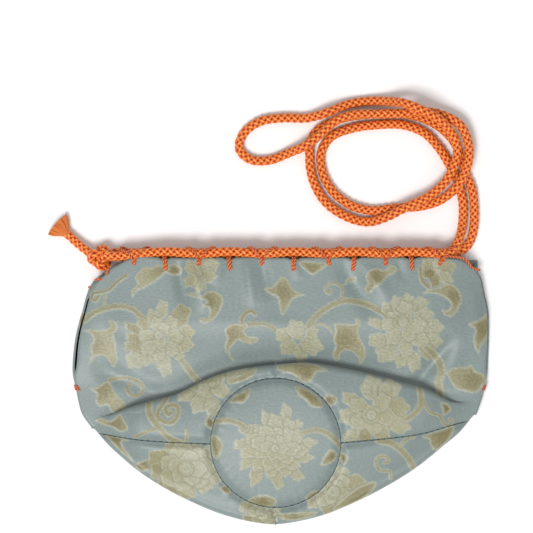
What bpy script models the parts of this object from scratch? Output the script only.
"""A shifuku, the silk pouch of a tea caddy, lying on its back wall.

The mouth points to +Y and the round base is folded forward over the front wall. Each wall is three
cloths: brocade outside, wadding, and a silk lining. A doubled cord runs through the mouth's loops,
lies in two turns beyond the mouth and ends in a knot with a tail. Metres, +Z up, floor at zero.
"""
import math

import bmesh
import bpy
import numpy as np
from mathutils import Matrix, Vector

# Driving sizes of the pouch as it lies.
half_width = 0.070
mouth_reach = 0.0446
bottom_reach = 0.0447
mouth_gap = 0.0060
base_gap = 0.0010
side_gap = 0.0003
pocket_start = 0.006
pocket_full = 0.024

# The three cloths of a wall and the clearance between neighbours.
brocade_thickness = 0.00035
wadding_thickness = 0.0004
lining_thickness = 0.00025
cloth_clearance = 0.0003
inner_inset = 0.0006
wall_depth = brocade_thickness + wadding_thickness + lining_thickness + 2 * cloth_clearance
wadding_depth = brocade_thickness + cloth_clearance + wadding_thickness / 2
lining_depth = wall_depth - lining_thickness / 2

# The round base, folded forward over the front wall.
disc_radius = 0.0217
disc_across = -0.0018
disc_along = -0.0172
disc_sides = 24
base_puff = 0.0020
base_edge_height = 0.0050
base_side_height = 0.0072
tuck_clearance = 0.0004
tuck_length = 0.026
tuck_side_length = 0.0025
seam_gap = 0.0004
flat_margin = 0.001

# How far in from the side edges the fold, the turned-up back and the front wall end.
fold_inset_left = 0.0130
fold_inset_right = 0.0100
wrap_inset_left = 0.0150
wrap_inset_right = 0.0140
front_inset_left = 0.0006
front_inset_right = 0.0012
flap_inset_left = 0.0012
flap_inset_right = 0.0005
slit_along = 0.0010
fold_reach_left = half_width - fold_inset_left
fold_reach_right = half_width - fold_inset_right
wrap_reach_left = half_width - wrap_inset_left
wrap_reach_right = half_width - wrap_inset_right
front_reach_left = half_width - front_inset_left
front_reach_right = half_width - front_inset_right
flap_reach_left = half_width - flap_inset_left
flap_reach_right = half_width - flap_inset_right

# The front wall lifts about this line.
hinge_along = 0.0117
hinge_gap = 0.0004

# Cord and threads.
cord_diameter = 0.0031
loop_thread_diameter = 0.0007
seam_thread_diameter = 0.0005
thread_clearance = 0.0003
cord_setback = 0.0020
back_cord_height = 0.0029
cord_inset_left = 0.0147
front_cord_inset_right = 0.0160
back_cord_inset_right = 0.0133
cord_left = cord_inset_left - half_width
front_cord_right = half_width - front_cord_inset_right
back_cord_right = half_width - back_cord_inset_right
end_clearance = 0.0003

# Stitches of the mouth's loops: every second one passes over the cord.
stitch_count = 11
stitch_inset_left = 0.0212
stitch_inset_right = 0.0180
first_stitch = stitch_inset_left - half_width
last_stitch = half_width - stitch_inset_right
stitch_spread = 0.0005
stitch_length = 0.0030
edge_dip = 0.0014
edge_dip_reach = 0.0026
loop_turn_degrees = 44

# The outline in shares of half_width, mouth_reach and bottom_reach: across, mouth side, bottom side.
outline_shares = (
    (-0.994, 0.270, -0.045),
    (-0.979, 0.433, -0.016),
    (-0.950, 0.599, 0.168),
    (-0.914, 0.778, 0.251),
    (-0.886, 0.834, 0.298),
    (-0.829, 0.897, 0.400),
    (-0.757, 0.957, 0.503),
    (-0.710, 0.995, 0.566),
    (-0.571, 1.000, 0.714),
    (-0.429, 0.996, 0.830),
    (-0.286, 0.998, 0.922),
    (-0.143, 1.000, 0.980),
    (-0.033, 0.998, 1.000),
    (0.071, 0.996, 0.980),
    (0.214, 1.000, 0.924),
    (0.357, 0.998, 0.832),
    (0.500, 1.000, 0.718),
    (0.643, 1.000, 0.579),
    (0.786, 0.997, 0.400),
    (0.857, 0.978, 0.306),
    (0.886, 0.953, 0.253),
    (0.904, 0.930, 0.217),
    (0.943, 0.886, 0.128),
    (0.961, 0.836, 0.038),
    (0.976, 0.724, -0.051),
    (0.993, 0.612, -0.275),
)
# The fold's edge and the side seams, in shares of half_width and bottom_reach.
fold_shares = (
    (-0.900, -0.217),
    (-0.724, -0.119),
    (-0.614, -0.072),
    (-0.481, -0.010),
    (-0.376, 0.074),
    (-0.253, 0.145),
    (-0.133, 0.181),
    (0.000, 0.203),
    (0.120, 0.213),
    (0.300, 0.172),
    (0.453, 0.119),
    (0.567, 0.072),
    (0.690, 0.016),
    (0.796, -0.056),
    (0.867, -0.078),
    (0.947, -0.119),
)
seam_shares = (
    (-0.890, -0.316),
    (-0.830, -0.331),
    (-0.763, -0.345),
    (-0.336, -0.387),
    (0.289, -0.378),
    (0.486, -0.351),
    (0.657, -0.318),
    (0.826, -0.253),
    (0.890, -0.230),
)

# The free cord's route beyond the mouth: twice round, a long bight, and twice round again.
cord_route = (
    (0.0576, 0.0476, 0.0060),
    (0.0596, 0.0512, 0.0046),
    (0.0608, 0.0567, 0.0021),
    (0.0609, 0.0627, 0.0017),
    (0.0595, 0.0690, 0.0017),
    (0.0567, 0.0750, 0.0017),
    (0.0530, 0.0810, 0.0017),
    (0.0480, 0.0862, 0.0017),
    (0.0407, 0.0889, 0.0017),
    (0.0323, 0.0889, 0.0017),
    (0.0237, 0.0877, 0.0017),
    (0.0167, 0.0848, 0.0017),
    (0.0135, 0.0797, 0.0017),
    (0.0139, 0.0730, 0.0017),
    (0.0172, 0.0668, 0.0017),
    (0.0230, 0.0622, 0.0017),
    (0.0303, 0.0602, 0.0017),
    (0.0387, 0.0611, 0.0017),
    (0.0470, 0.0617, 0.0017),
    (0.0533, 0.0637, 0.0030),
    (0.0588, 0.0684, 0.0055),
    (0.0620, 0.0747, 0.0054),
    (0.0626, 0.0813, 0.0053),
    (0.0600, 0.0882, 0.0053),
    (0.0540, 0.0919, 0.0053),
    (0.0470, 0.0932, 0.0053),
    (0.0397, 0.0925, 0.0053),
    (0.0317, 0.0923, 0.0053),
    (0.0237, 0.0920, 0.0053),
    (0.0180, 0.0898, 0.0054),
    (0.0133, 0.0857, 0.0055),
    (0.0083, 0.0818, 0.0055),
    (0.0023, 0.0793, 0.0025),
    (-0.0040, 0.0770, 0.0017),
    (-0.0103, 0.0773, 0.0017),
    (-0.0139, 0.0808, 0.0017),
    (-0.0127, 0.0857, 0.0017),
    (-0.0073, 0.0899, 0.0017),
    (0.0007, 0.0912, 0.0017),
    (0.0087, 0.0912, 0.0018),
    (0.0155, 0.0929, 0.0043),
    (0.0220, 0.0956, 0.0024),
    (0.0287, 0.0968, 0.0017),
    (0.0350, 0.0967, 0.0033),
    (0.0410, 0.0957, 0.0079),
    (0.0470, 0.0932, 0.0093),
    (0.0530, 0.0899, 0.0084),
    (0.0565, 0.0862, 0.0062),
    (0.0587, 0.0813, 0.0053),
    (0.0577, 0.0750, 0.0053),
    (0.0544, 0.0694, 0.0053),
    (0.0490, 0.0647, 0.0053),
    (0.0423, 0.0615, 0.0056),
    (0.0390, 0.0599, 0.0056),
    (0.0357, 0.0582, 0.0047),
    (0.0290, 0.0564, 0.0017),
    (0.0217, 0.0583, 0.0017),
    (0.0148, 0.0632, 0.0017),
    (0.0108, 0.0703, 0.0017),
    (0.0096, 0.0780, 0.0017),
    (0.0107, 0.0852, 0.0017),
    (0.0160, 0.0894, 0.0017),
    (0.0237, 0.0918, 0.0017),
    (0.0323, 0.0926, 0.0017),
    (0.0410, 0.0926, 0.0017),
    (0.0497, 0.0902, 0.0017),
    (0.0563, 0.0853, 0.0017),
    (0.0600, 0.0793, 0.0017),
    (0.0617, 0.0730, 0.0017),
    (0.0640, 0.0670, 0.0017),
    (0.0647, 0.0603, 0.0017),
    (0.0645, 0.0545, 0.0017),
    (0.0634, 0.0502, 0.0017),
    (0.0612, 0.0473, 0.0023),
)
route_point_count = 80

# The knot at the left end, its tail and the tuft that the tail ends in.
knot_place = (-0.0603, 0.0444, 0.0044)
knot_turn_radius = 0.0027
knot_turns = ((0.25, 0.20), (1.15, -0.35), (2.05, 0.30))
tail_route = (
    (-0.0643, 0.0464, 0.0039),
    (-0.0670, 0.0484, 0.0031),
    (-0.0695, 0.0506, 0.0026),
    (-0.0716, 0.0525, 0.0025),
)
tuft_length = 0.0056
tuft_neck_radius = 0.0016
tuft_end_radius = 0.0042
tuft_pleats = 9
tuft_pleat_depth = 0.0006
tuft_flatness_share = 0.42

brocade_colour = (0.27, 0.36, 0.38, 1.0)
wadding_colour = (0.80, 0.78, 0.72, 1.0)
lining_colour = (0.62, 0.60, 0.50, 1.0)
cord_colour = (0.74, 0.16, 0.012, 1.0)
thread_colour = (0.55, 0.07, 0.012, 1.0)
seam_thread_colour = (0.06, 0.09, 0.16, 1.0)
tuft_colour = (0.80, 0.28, 0.03, 1.0)


def clear_scene():
    for obj in list(bpy.data.objects):
        bpy.data.objects.remove(obj, do_unlink=True)


def make_collection(name):
    collection = bpy.data.collections.new(name)
    bpy.context.scene.collection.children.link(collection)
    return collection


def make_material(name, colour, roughness):
    material = bpy.data.materials.new(name)
    material.use_nodes = True
    shader = material.node_tree.nodes["Principled BSDF"]
    shader.inputs["Base Color"].default_value = colour
    shader.inputs["Roughness"].default_value = roughness
    shader.inputs["Metallic"].default_value = 0.0
    return material


def place(name, data, material):
    """A named object in the pouch's collection, with its material."""
    obj = bpy.data.objects.new(name, data)
    data.materials.append(material)
    pouch.objects.link(obj)
    return obj


def ease(share):
    """A smooth step from 0 to 1."""
    share = min(1.0, max(0.0, share))
    return share * share * (3 - 2 * share)


def read_curve(table, across, column):
    """The smooth curve through a table's points, read at one place across."""
    places = [row[0] for row in table]
    values = [row[column] for row in table]
    slopes = np.gradient(values, places)
    across = min(places[-1], max(places[0], across))
    k = min(len(places) - 2, max(0, int(np.searchsorted(places, across)) - 1))
    span = places[k + 1] - places[k]
    t = (across - places[k]) / span
    return (
        values[k] * (1 + 2 * t) * (1 - t) ** 2
        + slopes[k] * span * t * (1 - t) ** 2
        + values[k + 1] * t * t * (3 - 2 * t)
        + slopes[k + 1] * span * t * t * (t - 1)
    )


def mouth_line(x):
    return mouth_reach * read_curve(outline_shares, x / half_width, 1)


def bottom_line(x):
    return -bottom_reach * read_curve(outline_shares, x / half_width, 2)


def fold_line(x):
    return bottom_reach * read_curve(fold_shares, x / half_width, 1)


def seam_line(x):
    return bottom_reach * read_curve(seam_shares, x / half_width, 1)


def roundness(x):
    """1 in the middle of the pouch and 0 at its side edges."""
    return max(0.0, 1 - (x / half_width) ** 6)


def front_face(x, y):
    """Height of the front wall's outer face."""
    gap = base_gap + (mouth_gap - base_gap) * ease((y - pocket_start) / (pocket_full - pocket_start))
    return 2 * wall_depth + side_gap + (gap - side_gap) * roundness(x)


def edge_height(x):
    """Thickness of the pouch where the back wall turns up into the base."""
    return base_side_height + (base_edge_height - base_side_height) * roundness(x)


def fold_height(x):
    """Height of the base's outer face at the fold."""
    y = fold_line(x)
    return front_face(x, y) + tuck_clearance + 2 * wall_depth + base_gap


def base_face(x, y):
    """Height of the folded base's outer face."""
    start = bottom_line(x) + edge_height(x) / 2
    span = fold_line(x) - start
    share = min(1.0, max(0.0, (y - start) / span)) if span > 0 else 1.0
    rise = 1 - (1 - share) ** 2
    puff = base_puff * 4 * share * (1 - share) * roundness(x)
    return edge_height(x) + (fold_height(x) - edge_height(x)) * rise + puff


def hidden_fold(x):
    """Where the front wall turns back under the base."""
    reach = fold_reach_left if x < 0 else fold_reach_right
    bulge = max(0.0, 1 - (x / reach) ** 2)
    return fold_line(x) - tuck_side_length - (tuck_length - tuck_side_length) * bulge


def disc_edge(x, side):
    """Where the ring round the disc begins, on its upper (+1) or lower (-1) side."""
    apart = abs(x - disc_across)
    if apart < disc_radius:
        return disc_along + side * (math.sqrt(disc_radius**2 - apart**2) + seam_gap / 2)
    return seam_line(x) + side * seam_gap / 2


def disc_places():
    """The disc's corners across, so that the ring's cloth meets each of them."""
    half = disc_sides // 2
    return [disc_across - disc_radius * math.cos(math.pi * k / half) for k in range(half + 1)]


def spread(start, end, count):
    """Even places from start to end, without the end."""
    return [start + (end - start) * k / count for k in range(count)]


def base_places(left, right):
    """Places across for cloths that meet the disc."""
    middle = disc_places()
    return spread(-left, middle[0], 5) + middle + spread(right, middle[-1], 5)[::-1]


def wall_places(left, right, inner_left, inner_right):
    """The base's places with more beside them, out to the side edges."""
    return (
        spread(-left, -inner_left, 3)
        + base_places(inner_left, inner_right)
        + spread(right, inner_right, 3)[::-1]
    )


def arc(centre_y, centre_z, radius, side, steps=4):
    """The inner points of a half turn from below its centre to above it."""
    points = []
    for k in range(1, steps):
        angle = math.pi * k / steps
        points.append((centre_y + side * radius * math.sin(angle), centre_z - radius * math.cos(angle)))
    return points


def run(start, end, count, height):
    """Points from start to end along Y, at the height that a function gives."""
    return [(y, height(y)) for y in (start + (end - start) * k / count for k in range(count + 1))]


def add_cloth(name, grids, thickness, material):
    """A cloth from grids of points that share their edge points, thickened both ways."""
    mesh = bpy.data.meshes.new(name)
    build = bmesh.new()
    known = {}
    for grid in grids:
        rows = [[known_point(build, known, point) for point in row] for row in grid]
        for first, second in zip(rows, rows[1:]):
            for k in range(len(first) - 1):
                build.faces.new((first[k], first[k + 1], second[k + 1], second[k]))
    bmesh.ops.recalc_face_normals(build, faces=build.faces)
    build.to_mesh(mesh)
    build.free()
    mesh.shade_smooth()
    obj = place(name, mesh, material)
    shell = obj.modifiers.new("Cloth", "SOLIDIFY")
    shell.thickness = thickness
    shell.offset = 0
    return obj


def known_point(build, known, point):
    """The point's vertex, made once."""
    key = tuple(round(value, 7) for value in point)
    if key not in known:
        known[key] = build.verts.new(point)
    return known[key]


def columns(places, column):
    """One column of points for each place across."""
    return [[(x, y, z) for y, z in column(x)] for x in places]


def back_cloth(name, depth, thickness, inset, material):
    """The back half: a flat wall that turns up at the bottom and runs on to the disc."""

    def flat_end(x):
        return bottom_line(x) + edge_height(x) / 2

    def wall(x):
        wrapped = -wrap_reach_left <= x <= wrap_reach_right
        end = flat_end(x) if wrapped else bottom_line(x) + inset
        return [(mouth_line(x) - inset, depth), (end + flat_margin, depth), (end, depth)]

    def wrap(x):
        middle = edge_height(x) / 2
        turn = arc(flat_end(x), middle, middle - depth, -1)
        back = run(flat_end(x), disc_edge(x, -1), 3, lambda y: base_face(x, y) - depth)
        return [(flat_end(x), depth)] + turn + back

    left, right = half_width * -outline_shares[0][0], half_width * outline_shares[-1][0]
    all_places = wall_places(left - inset, right - inset, wrap_reach_left, wrap_reach_right)
    inner = base_places(wrap_reach_left, wrap_reach_right)
    return add_cloth(name, (columns(all_places, wall), columns(inner, wrap)), thickness, material)


def front_cloth(name, depth, thickness, inset, material):
    """The front half below the hinge line: down under the base, back up, and over the fold."""

    def wall(x):
        top = min(hinge_along, mouth_line(x) - inset) - hinge_gap / 2
        folded = -fold_reach_left <= x <= fold_reach_right
        end = hidden_fold(x) if folded else bottom_line(x) + inset
        return run(top, end, 3, lambda y: front_face(x, y) - depth)

    def folded(x):
        start = hidden_fold(x)
        low = front_face(x, start)
        turn = arc(start, low + tuck_clearance / 2, depth + tuck_clearance / 2, -1, 3)
        half = (base_face(x, fold_line(x)) - front_face(x, fold_line(x)) - tuck_clearance) / 2
        crest = fold_line(x) - half
        under = run(start, crest, 1, lambda y: front_face(x, y) + tuck_clearance + depth)
        low = front_face(x, crest) + tuck_clearance + depth
        high = base_face(x, crest) - depth
        over = arc(crest, (low + high) / 2, (high - low) / 2, 1)
        ring = run(crest, disc_edge(x, 1), 3, lambda y: base_face(x, y) - depth)
        return [(start, front_face(x, start) - depth)] + turn + under + over + ring

    all_places = wall_places(
        front_reach_left - inset, front_reach_right - inset, fold_reach_left, fold_reach_right
    )
    inner = base_places(fold_reach_left, fold_reach_right)
    return add_cloth(name, (columns(all_places, wall), columns(inner, folded)), thickness, material)


def stitch_places():
    step = (last_stitch - first_stitch) / (stitch_count - 1)
    return [first_stitch + step * k for k in range(stitch_count)]


def lip_line(x):
    """The front wall's mouth edge, drawn down at each stitch that comes from under the cord."""
    dip = 0.0
    for at in stitch_places()[1::2]:
        apart = abs(x - at) / edge_dip_reach
        if apart < 1:
            dip = edge_dip * ease(2 * (1 - apart))
    return mouth_line(x) - dip


def flap_places(left, right):
    """Places across at the stitches, close together where the mouth edge dips."""
    places = spread(-left, first_stitch, 4) + [first_stitch]
    for k, at in enumerate(stitch_places()):
        if k % 2:
            places += [at + edge_dip_reach * share for share in (-1, -0.5, 0, 0.5, 1)]
        elif k:
            places.append(at)
    return places + spread(right, last_stitch, 4)[::-1]


def flap_cloth(name, depth, thickness, inset, material):
    """The front wall above the hinge line."""

    def wall(x):
        top = lip_line(x) - inset / 2
        return run(top, hinge_along + hinge_gap / 2, 3, lambda y: front_face(x, y) - depth)

    places = flap_places(flap_reach_left - inset, flap_reach_right - inset)
    return add_cloth(name, (columns(places, wall),), thickness, material)


def disc_cloth(name, depth, thickness, material):
    """The round base piece, from its middle out to the seam."""
    mesh = bpy.data.meshes.new(name)
    build = bmesh.new()
    bmesh.ops.create_circle(build, cap_ends=True, radius=disc_radius - seam_gap / 2, segments=disc_sides)
    inner = [face for face in build.faces]
    bmesh.ops.inset_region(build, faces=inner, thickness=disc_radius / 3)
    inner = [max(build.faces, key=lambda face: len(face.verts))]
    bmesh.ops.inset_region(build, faces=inner, thickness=disc_radius / 3)
    inner = [max(build.faces, key=lambda face: len(face.verts))]
    bmesh.ops.poke(build, faces=inner)
    for vert in build.verts:
        x, y = vert.co.x + disc_across, vert.co.y + disc_along
        vert.co = (x, y, base_face(x, y) - depth)
    bmesh.ops.recalc_face_normals(build, faces=build.faces)
    build.to_mesh(mesh)
    build.free()
    mesh.shade_smooth()
    obj = place(name, mesh, material)
    shell = obj.modifiers.new("Cloth", "SOLIDIFY")
    shell.thickness = thickness
    shell.offset = 0
    return obj


def smooth_route(points, count):
    """Even points along a smooth curve through the route's points."""
    knots = [Vector(point) for point in points]
    knots = [2 * knots[0] - knots[1]] + knots + [2 * knots[-1] - knots[-2]]
    dense = []
    for a, b, c, d in zip(knots, knots[1:], knots[2:], knots[3:]):
        dense += [curve_point(a, b, c, d, step / 16) for step in range(16)]
    dense.append(knots[-2])
    reach = [0.0]
    for first, second in zip(dense, dense[1:]):
        reach.append(reach[-1] + (second - first).length)
    even = np.linspace(0, reach[-1], count)
    return [Vector([np.interp(at, reach, [point[k] for point in dense]) for k in range(3)]) for at in even]


def curve_point(a, b, c, d, share):
    """A point between b and c on the centripetal curve through four points."""
    t1 = math.sqrt((b - a).length)
    t2 = t1 + math.sqrt((c - b).length)
    t3 = t2 + math.sqrt((d - c).length)
    t = t1 + (t2 - t1) * share
    ab = a * ((t1 - t) / t1) + b * (t / t1)
    bc = b * ((t2 - t) / (t2 - t1)) + c * ((t - t1) / (t2 - t1))
    cd = c * ((t3 - t) / (t3 - t2)) + d * ((t - t2) / (t3 - t2))
    abc = ab * ((t2 - t) / t2) + bc * (t / t2)
    bcd = bc * ((t3 - t) / (t3 - t1)) + cd * ((t - t1) / (t3 - t1))
    return abc * ((t2 - t) / (t2 - t1)) + bcd * ((t - t1) / (t2 - t1))


def print_least_gap(name, points, diameter):
    """Prints how near a tube comes to itself, read at points a fifth of a diameter apart."""
    spots = smooth_route(points, round(5 * route_length(points) / diameter))
    apart = 3 * 5
    places = np.array(spots)
    least = min(
        np.linalg.norm(places[k + apart :] - places[k], axis=1).min() for k in range(len(places) - apart)
    )
    print(f"{name}: least gap to itself {least - diameter:.5f} m")


def route_length(points):
    return sum((second - first).length for first, second in zip(points, points[1:]))


def add_tube(name, points, diameter, resolution, material, closed=False):
    """A round tube through the points, with filled ends."""
    curve = bpy.data.curves.new(name, "CURVE")
    curve.dimensions = "3D"
    curve.bevel_depth = diameter / 2
    curve.bevel_resolution = resolution
    curve.use_fill_caps = not closed
    spline = curve.splines.new("POLY")
    spline.points.add(len(points) - 1)
    for spot, point in zip(spline.points, points):
        spot.co = (*point, 1)
    spline.use_cyclic_u = closed
    return place(name, curve, material)


def front_cord_place(x):
    return Vector((x, mouth_reach + cord_setback, front_face(x, mouth_reach) - wall_depth / 2))


def back_cord_place(x):
    return Vector((x, mouth_reach + cord_setback, back_cord_height))


def mouth_cord(name, left, right, at):
    """One of the two passes of the cord along the mouth."""
    count = 1 + round((right - left) / (2 * cord_diameter))
    return add_tube(name, [at(x) for x in np.linspace(left, right, count)], cord_diameter, 2, cord_silk)


def mouth_loops(name, at, face):
    """One thread that holds the cord to the mouth's edge, over the cord and under it by turns."""
    turn = math.radians(loop_turn_degrees)
    lift = thread_clearance + loop_thread_diameter / 2
    over = (cord_diameter / 2 + lift) / math.cos(turn / 2)
    points = []
    for k, x in enumerate(stitch_places()):
        side = 1 if k % 2 == 0 else -1
        cord = at(x)
        strand = []
        for step in (2, 1, 0, -1):
            strand.append(cord + over * Vector((0, math.sin(step * turn), side * math.cos(step * turn))))
        edge = mouth_line(x) if side > 0 else lip_line(x)
        if side < 0:
            strand.append(cord - Vector((0, over, 0)))
            strand.append(Vector((x, edge + lift, face(x, edge) + lift)))
        else:
            strand.append(Vector((x, edge - stitch_length / 2, face(x, edge) + lift)))
        strand.append(Vector((x, edge - stitch_length, face(x, edge - stitch_length) + lift)))
        points += [point - Vector((stitch_spread, 0, 0)) for point in strand]
        points += [point + Vector((stitch_spread, 0, 0)) for point in reversed(strand)]
    return add_tube(name, points, loop_thread_diameter, 1, loop_thread)


def over_base(x, y):
    """A seam thread's place on the folded base."""
    return Vector((x, y, base_face(x, y) + thread_clearance + seam_thread_diameter / 2))


def seam_threads():
    """The threads that show along the base's seams."""
    ring = []
    for k in range(disc_sides):
        angle = 2 * math.pi * k / disc_sides
        x = disc_across + disc_radius * math.cos(angle)
        ring.append(over_base(x, disc_along + disc_radius * math.sin(angle)))
    add_tube("base_seam_thread", ring, seam_thread_diameter, 1, seam_thread, closed=True)
    clear = disc_radius + 2 * seam_thread_diameter
    left = [over_base(x, seam_line(x)) for x in np.linspace(disc_across - clear, -wrap_reach_left, 7)]
    right = [over_base(x, seam_line(x)) for x in np.linspace(disc_across + clear, wrap_reach_right, 7)]
    add_tube("side_seam_thread_left", left, seam_thread_diameter, 1, seam_thread)
    add_tube("side_seam_thread_right", right, seam_thread_diameter, 1, seam_thread)
    x = disc_across
    top = disc_along + clear
    bottom = disc_along - clear
    upper = [over_base(x, top + (fold_line(x) - fold_height(x) / 4 - top) * k / 2) for k in range(3)]
    lower = [over_base(x, bottom + (bottom_line(x) + edge_height(x) / 2 - bottom) * k / 2) for k in range(3)]
    add_tube("dart_thread_front", upper, seam_thread_diameter, 1, seam_thread)
    add_tube("dart_thread_back", lower, seam_thread_diameter, 1, seam_thread)


def slit_stitch(name, edge_x, y, side):
    """The stop stitch at the bottom of a side slit: over the front wall's edge and down its side."""
    out = thread_clearance + loop_thread_diameter / 2
    points = []
    for inward in (3 * stitch_spread, 2 * stitch_spread, 0):
        x = edge_x - side * inward
        points.append(Vector((x, y, front_face(x, y) + out)))
    points.append(Vector((edge_x + side * out, y, front_face(edge_x, y) - out)))
    points.append(Vector((edge_x + side * out, y, wall_depth / 2)))
    return add_tube(name, points, loop_thread_diameter, 1, loop_thread)


def add_knot():
    """A tight overhand knot: three turns of the cord drawn together."""
    bodies = []
    for k, (swing, tilt) in enumerate(knot_turns):
        bpy.ops.mesh.primitive_torus_add(
            major_radius=knot_turn_radius,
            minor_radius=cord_diameter / 2,
            major_segments=14,
            minor_segments=6,
            location=knot_place,
            rotation=(math.pi / 2 + tilt, 0, swing),
        )
        bodies.append(bpy.context.object)
    bpy.ops.mesh.primitive_uv_sphere_add(
        segments=12, ring_count=8, radius=knot_turn_radius, location=knot_place
    )
    bodies.append(bpy.context.object)
    knot = bodies[0]
    knot.name = "end_knot"
    knot.data.name = "end_knot"
    knot.data.materials.append(cord_silk)
    knot.data.shade_smooth()
    move_to(knot, pouch)
    for other in bodies[1:]:
        move_to(other, cutters)
        other.hide_render = True
        other.display_type = "WIRE"
        union = knot.modifiers.new("Turn", "BOOLEAN")
        union.operation = "UNION"
        union.solver = "EXACT"
        union.object = other
    return knot


def move_to(obj, collection):
    for old in list(obj.users_collection):
        old.objects.unlink(obj)
    collection.objects.link(obj)


def add_tuft(end, direction):
    """The cord's frayed end: a pleated cone, pressed flat by its own weight."""
    mesh = bpy.data.meshes.new("end_tuft")
    build = bmesh.new()
    bmesh.ops.create_cone(
        build,
        cap_ends=True,
        segments=2 * tuft_pleats,
        radius1=tuft_neck_radius,
        radius2=tuft_end_radius,
        depth=tuft_length,
    )
    for vert in build.verts:
        if vert.co.z > 0 and round(math.atan2(vert.co.y, vert.co.x) * tuft_pleats / math.pi) % 2:
            vert.co *= 1 - tuft_pleat_depth / tuft_end_radius
    along = direction.normalized()
    aside = Vector((0, 0, 1)).cross(along).normalized()
    up = along.cross(aside)
    turn = Matrix((aside, up, along)).transposed()
    for vert in build.verts:
        share = 0.5 + vert.co.z / tuft_length
        flat = 1 + (tuft_flatness_share - 1) * share
        point = Vector((vert.co.x, vert.co.y * flat, vert.co.z + tuft_length / 2))
        vert.co = end + turn @ point
    build.to_mesh(mesh)
    build.free()
    return place("end_tuft", mesh, tuft_silk)


def hang_on_axis(name, at, objects):
    """An empty on a joint's axis that carries the pieces of one moving body."""
    axis = bpy.data.objects.new(name, None)
    axis.location = at
    axis.empty_display_size = cord_diameter
    pouch.objects.link(axis)
    for obj in objects:
        obj.parent = axis
        obj.matrix_parent_inverse = Matrix.Translation(-Vector(at))
    return axis


def build_pouch():
    back_cloth("outer_back", brocade_thickness / 2, brocade_thickness, 0.0, brocade)
    back_cloth("wadding_back", wadding_depth, wadding_thickness, inner_inset, wadding)
    back_cloth("lining_back", lining_depth, lining_thickness, inner_inset, lining)
    front_cloth("outer_front", brocade_thickness / 2, brocade_thickness, 0.0, brocade)
    front_cloth("wadding_front", wadding_depth, wadding_thickness, inner_inset, wadding)
    front_cloth("lining_front", lining_depth, lining_thickness, inner_inset, lining)
    flap = [
        flap_cloth("outer_front_flap", brocade_thickness / 2, brocade_thickness, 0.0, brocade),
        flap_cloth("wadding_front_flap", wadding_depth, wadding_thickness, inner_inset, wadding),
        flap_cloth("lining_front_flap", lining_depth, lining_thickness, inner_inset, lining),
    ]
    disc_cloth("outer_base", brocade_thickness / 2, brocade_thickness, brocade)
    disc_cloth("wadding_base", wadding_depth, wadding_thickness, wadding)
    disc_cloth("lining_base", lining_depth, lining_thickness, lining)
    seam_threads()
    slit_stitch("slit_stitch_left", -front_reach_left, slit_along, -1)
    slit_stitch("slit_stitch_right", front_reach_right, slit_along, 1)
    flap.append(mouth_cord("mouth_cord_front", cord_left, front_cord_right, front_cord_place))
    flap.append(mouth_loops("mouth_loops_front", front_cord_place, front_face))
    mouth_cord("mouth_cord_back", cord_left, back_cord_right, back_cord_place)
    mouth_loops("mouth_loops_back", back_cord_place, lambda x, y: wall_depth)
    hang_on_axis("mouth_hinge", (0, hinge_along, front_face(0, hinge_along)), flap)


def build_cord():
    square = Vector((cord_diameter / 2, 0, 0))
    start = front_cord_place(front_cord_right + end_clearance)
    end = back_cord_place(back_cord_right + end_clearance)
    between = smooth_route((start + square, *cord_route, end + square), route_point_count - 2)
    add_tube("draw_cord_loop", [start, *between, end], cord_diameter, 2, cord_silk)
    print_least_gap("draw_cord_loop", between, cord_diameter)
    add_knot()
    tail_points = smooth_route(tail_route, 4)
    tail = add_tube("cord_tail", tail_points, cord_diameter, 2, cord_silk)
    direction = tail_points[-1] - tail_points[-2]
    end = tail_points[-1] + direction.normalized() * end_clearance
    tuft = add_tuft(end, direction)
    hang_on_axis("tail_hinge", tail_route[0], [tail, tuft])


clear_scene()
pouch = make_collection("shifuku_pouch")
cutters = make_collection("knot_turns")
brocade = make_material("brocade", brocade_colour, 0.45)
wadding = make_material("wadding", wadding_colour, 0.95)
lining = make_material("lining_silk", lining_colour, 0.50)
cord_silk = make_material("cord_silk", cord_colour, 0.50)
loop_thread = make_material("loop_thread", thread_colour, 0.55)
seam_thread = make_material("seam_thread", seam_thread_colour, 0.60)
tuft_silk = make_material("tuft_silk", tuft_colour, 0.60)
build_pouch()
build_cord()
